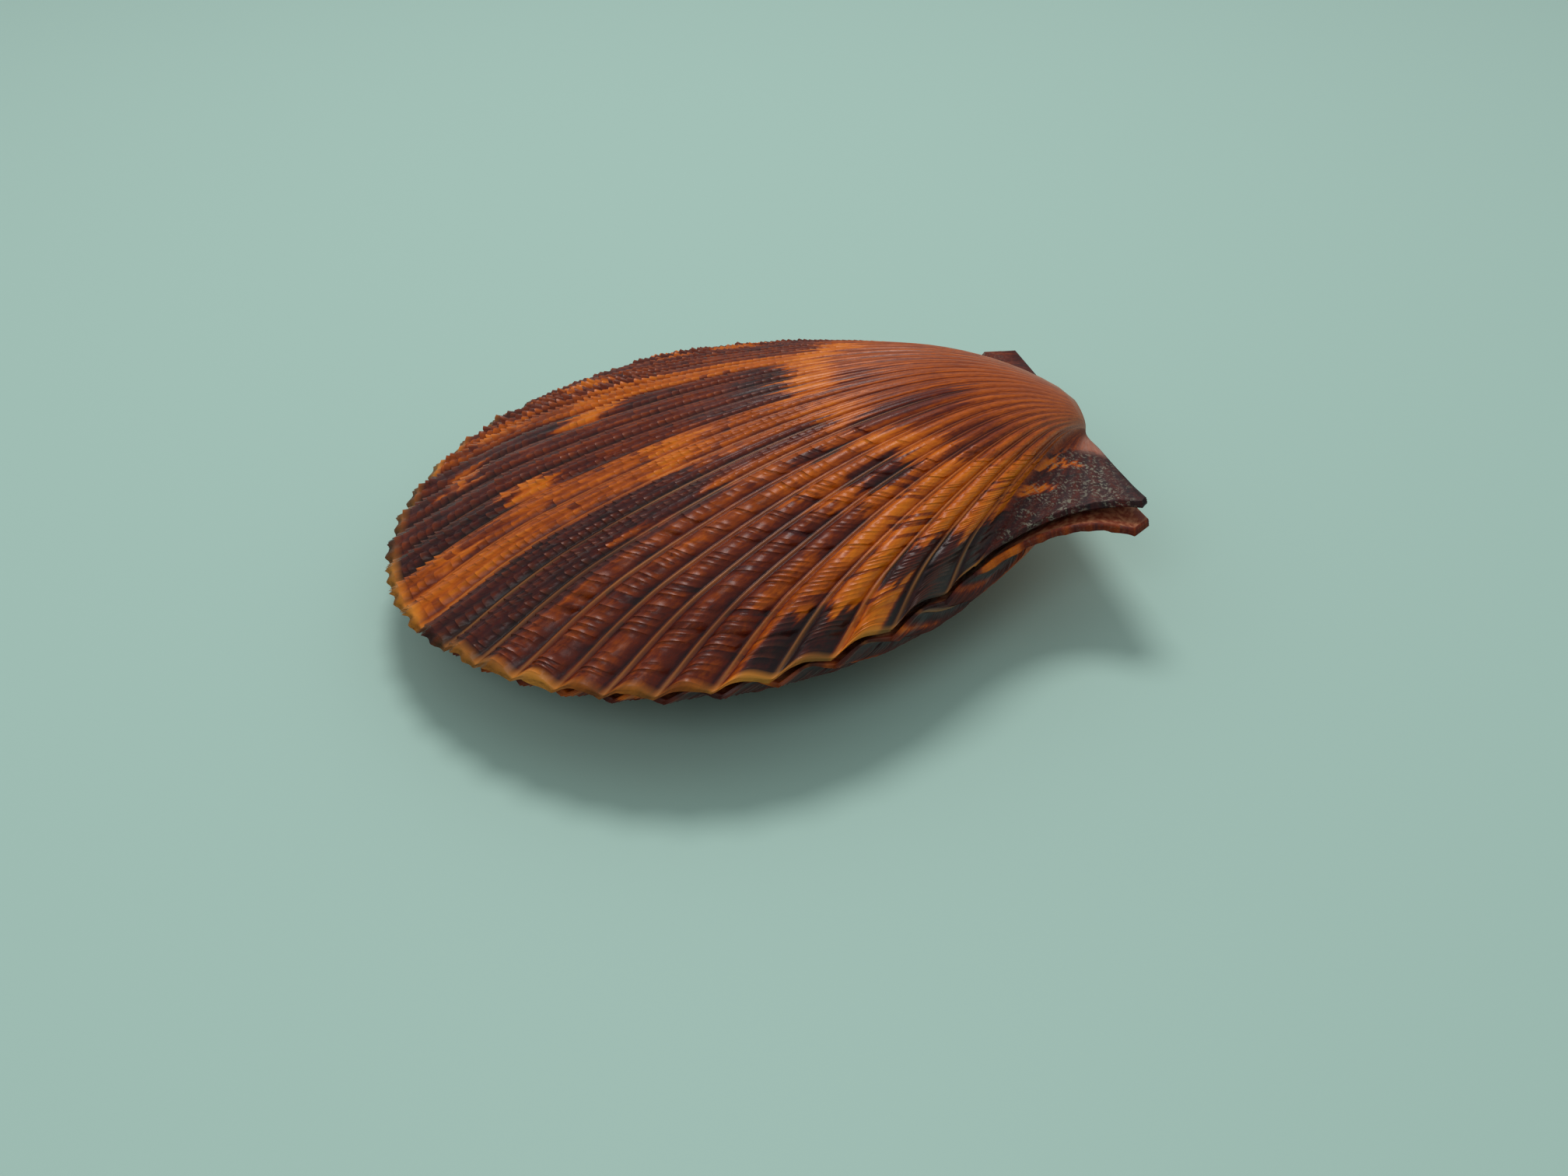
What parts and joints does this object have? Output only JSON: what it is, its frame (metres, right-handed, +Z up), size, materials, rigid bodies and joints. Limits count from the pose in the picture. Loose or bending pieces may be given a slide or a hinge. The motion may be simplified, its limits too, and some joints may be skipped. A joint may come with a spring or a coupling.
{
  "type": "mimachlamys crassicostata shell",
  "caption": "Closed scallop shell with two ribbed, interlocking valves, unequal ears and a ligament along the straight hinge line.",
  "frame": {"origin": "middle of the bounding box, on the surface the shell rests on", "axes": "+Z up, +X towards the hinge line, -X towards the ventral edge, +Y towards the larger front ears"},
  "size_m": [0.0534, 0.052, 0.0162],
  "materials": {
    "left_valve": "semi-gloss, burnt orange with maroon patches",
    "right_valve": "semi-gloss, amber grading to dark maroon",
    "hinge_ligament": "matt dark brown"
  },
  "bodies": {
    "root": {"left_valve": "left_valve", "right_valve": "right_valve", "hinge_ligament": "hinge_ligament"}
  },
  "joints": []
}
